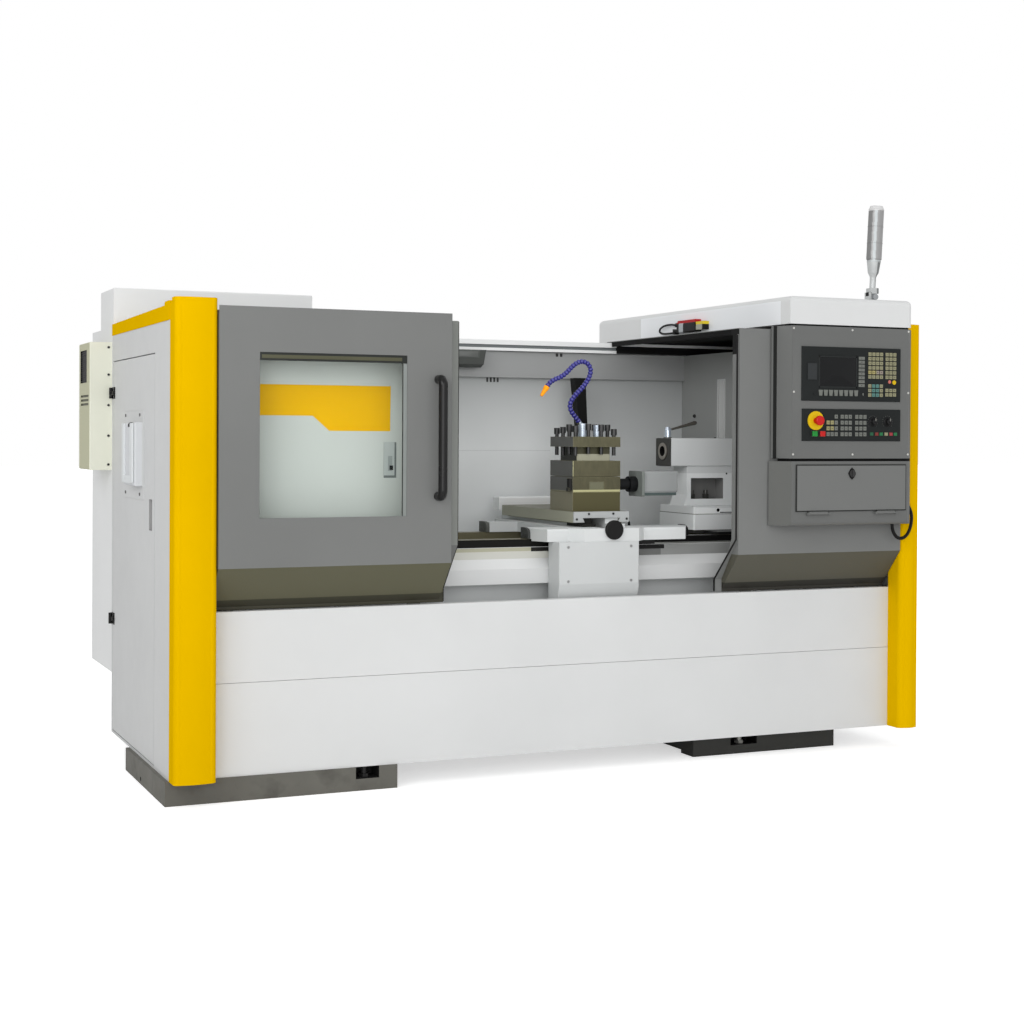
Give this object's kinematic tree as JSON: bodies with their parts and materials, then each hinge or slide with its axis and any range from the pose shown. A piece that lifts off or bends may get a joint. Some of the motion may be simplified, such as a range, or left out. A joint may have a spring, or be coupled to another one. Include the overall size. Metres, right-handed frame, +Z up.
{
  "type": "cnc turning lathe",
  "caption": "Flat-bed CNC turning lathe with sliding doors, indexing tool post, tailstock, front control console and folding signal lamp.",
  "frame": {"origin": "centre of the overall footprint, on the floor", "axes": "+X to the operator's right along the bed, +Y to the back, +Z up"},
  "size_m": [3.2473, 1.801, 2.2888],
  "materials": {
    "grey_paint": "satin",
    "white_paint": "satin",
    "yellow_paint": "satin",
    "plinth_paint": "satin",
    "cast_paint": "painted satin",
    "ground_steel": "ground",
    "bright_steel": "turned",
    "chrome": "polished",
    "black_plastic": "matte",
    "panel_plastic": "matte",
    "glass": "clear",
    "black_steel": "blackened",
    "blue_plastic": "gloss",
    "orange_plastic": "gloss",
    "red_plastic": "gloss",
    "green_plastic": "gloss",
    "rubber": "matte",
    "motor_metal": "painted",
    "lamp_metal": "anodised"
  },
  "bodies": {
    "machine": {"plinths": "plinth_paint", "base": "white_paint", "front_panels": "white_paint", "bed": "cast_paint", "screw_cover": "white_paint", "headstock": "cast_paint", "headstock_guard": "white_paint", "left_column": "yellow_paint", "right_column": "yellow_paint", "left_side_panel": "white_paint", "right_side_panel": "white_paint", "inner_walls": "white_paint", "rear_beam": "white_paint", "work_lamp": "grey_paint", "electrical_cabinet": "white_paint", "cooling_unit": "white_paint", "console_body": "grey_paint", "operator_panel": "panel_plastic", "machine_panel": "panel_plastic", "canopy": "white_paint", "door_switch": "black_plastic", "lamp_bracket": "lamp_metal", "console_conduit": "rubber"},
    "side_door": {"side_door": "white_paint"},
    "cabinet_door": {"cabinet_door": "white_paint"},
    "left_door": {"left_door": "grey_paint", "left_window": "glass", "left_handle": "black_plastic"},
    "right_door": {"right_door": "grey_paint"},
    "spindle": {"spindle": "bright_steel", "chuck_body": "bright_steel"},
    "jaw_1": {"jaw_1": "black_steel"},
    "jaw_2": {"jaw_2": "black_steel"},
    "jaw_3": {"jaw_3": "black_steel"},
    "z_screw": {"z_screw": "bright_steel"},
    "carriage": {"saddle": "cast_paint", "apron": "cast_paint", "saddle_wipers": "rubber", "cable_post": "black_plastic"},
    "x_screw": {"x_screw": "bright_steel"},
    "cross_slide": {"cross_slide": "ground_steel", "slide_rear_cover": "white_paint", "tool_post_base": "ground_steel", "index_motor": "motor_metal", "coolant_hose": "blue_plastic", "coolant_nozzle": "orange_plastic"},
    "turret": {"turret_block": "ground_steel", "tool_bolts": "black_steel"},
    "tailstock": {"tail_base": "cast_paint", "tail_body": "cast_paint"},
    "quill": {"quill": "bright_steel"},
    "quill_clamp": {"quill_clamp": "chrome"},
    "console_flap": {"console_flap": "grey_paint"},
    "flap_latch": {"flap_latch": "black_plastic"},
    "e_stop": {"e_stop": "red_plastic"},
    "start_button": {"start_button": "green_plastic"},
    "stop_button": {"stop_button": "red_plastic"},
    "feed_knob": {"feed_knob": "black_plastic"},
    "speed_knob": {"speed_knob": "black_plastic"},
    "signal_mast": {"signal_mast": "lamp_metal"}
  },
  "joints": [
    {"name": "side_door_swing", "type": "hinge", "parent": "machine", "child": "side_door", "pos_m": [-1.5405, 0.3835, 1.014], "axis": [0, 0, 1], "range_deg": [-85, 0]},
    {"name": "cabinet_door_swing", "type": "hinge", "parent": "machine", "child": "cabinet_door", "pos_m": [-0.6775, 0.8925, 1.037], "axis": [0, 0, 1], "range_deg": [-110, 0]},
    {"name": "left_door_slide", "type": "slide", "parent": "machine", "child": "left_door", "axis": [1, 0, 0], "range_m": [0, 0.595]},
    {"name": "right_door_slide", "type": "slide", "parent": "machine", "child": "right_door", "axis": [1, 0, 0], "range_m": [-0.585, 0]},
    {"name": "spindle_spin", "type": "hinge", "parent": "machine", "child": "spindle", "pos_m": [-0.5325, -0.2295, 1.246], "axis": [1, 0, 0], "continuous": true},
    {"name": "jaw_1_slide", "type": "slide", "parent": "spindle", "child": "jaw_1", "axis": [0, 0, 1], "range_m": [-0.005, 0.005]},
    {"name": "jaw_2_slide", "type": "slide", "parent": "spindle", "child": "jaw_2", "axis": [0, -0.866, -0.5], "range_m": [-0.005, 0.005]},
    {"name": "jaw_3_slide", "type": "slide", "parent": "spindle", "child": "jaw_3", "axis": [0, 0.866, -0.5], "range_m": [-0.005, 0.005]},
    {"name": "carriage_slide", "type": "slide", "parent": "machine", "child": "carriage", "axis": [1, 0, 0], "range_m": [-0.45, 0.05]},
    {"name": "z_screw_spin", "type": "hinge", "parent": "machine", "child": "z_screw", "pos_m": [-0.1325, -0.4885, 0.77], "axis": [1, 0, 0], "range_deg": [-16201, 1801]},
    {"name": "cross_slide_travel", "type": "slide", "parent": "carriage", "child": "cross_slide", "axis": [0, 1, 0], "range_m": [-0.1, 0.11]},
    {"name": "x_screw_spin", "type": "hinge", "parent": "carriage", "child": "x_screw", "pos_m": [0.2425, -0.2065, 0.932], "axis": [0, 1, 0], "range_deg": [-7201, 7921]},
    {"name": "turret_index", "type": "hinge", "parent": "cross_slide", "child": "turret", "pos_m": [0.2445, -0.3745, 1.2], "axis": [0, 0, 1], "continuous": true},
    {"name": "tailstock_slide", "type": "slide", "parent": "machine", "child": "tailstock", "axis": [1, 0, 0], "range_m": [-0.09, 0.05]},
    {"name": "quill_slide", "type": "slide", "parent": "tailstock", "child": "quill", "axis": [1, 0, 0], "range_m": [-0.15, 0]},
    {"name": "quill_clamp_turn", "type": "hinge", "parent": "tailstock", "child": "quill_clamp", "pos_m": [0.7115, -0.2295, 1.33], "axis": [0, 0, 1], "range_deg": [-60, 30]},
    {"name": "console_flap_swing", "type": "hinge", "parent": "machine", "child": "console_flap", "pos_m": [1.2175, -0.8665, 1.001], "axis": [1, 0, 0], "range_deg": [0, 100]},
    {"name": "flap_latch_turn", "type": "hinge", "parent": "console_flap", "child": "flap_latch", "pos_m": [1.2145, -0.8565, 1.162], "axis": [0, 1, 0], "range_deg": [0, 90]},
    {"name": "e_stop_press", "type": "slide", "parent": "machine", "child": "e_stop", "axis": [0, 1, 0], "range_m": [0, 0.005]},
    {"name": "start_button_press", "type": "slide", "parent": "machine", "child": "start_button", "axis": [0, 1, 0], "range_m": [0, 0.003], "stiffness_N_per_m": 400},
    {"name": "stop_button_press", "type": "slide", "parent": "machine", "child": "stop_button", "axis": [0, 1, 0], "range_m": [0, 0.003], "stiffness_N_per_m": 400},
    {"name": "feed_knob_turn", "type": "hinge", "parent": "machine", "child": "feed_knob", "pos_m": [1.3155, -0.8625, 1.373], "axis": [0, 1, 0], "range_deg": [-135, 135]},
    {"name": "speed_knob_turn", "type": "hinge", "parent": "machine", "child": "speed_knob", "pos_m": [1.3875, -0.8625, 1.373], "axis": [0, 1, 0], "range_deg": [-135, 135]},
    {"name": "signal_mast_fold", "type": "hinge", "parent": "machine", "child": "signal_mast", "pos_m": [1.4485, -0.6665, 1.902], "axis": [0, 1, 0], "range_deg": [-3, 84]}
  ],
  "couplings": [
    {"joint": "jaw_2_slide", "follows": "jaw_1_slide", "ratio": 1},
    {"joint": "jaw_3_slide", "follows": "jaw_1_slide", "ratio": 1},
    {"joint": "z_screw_spin", "follows": "carriage_slide", "rad_per_m": 628.32},
    {"joint": "x_screw_spin", "follows": "cross_slide_travel", "rad_per_m": 1256.6}
  ]
}
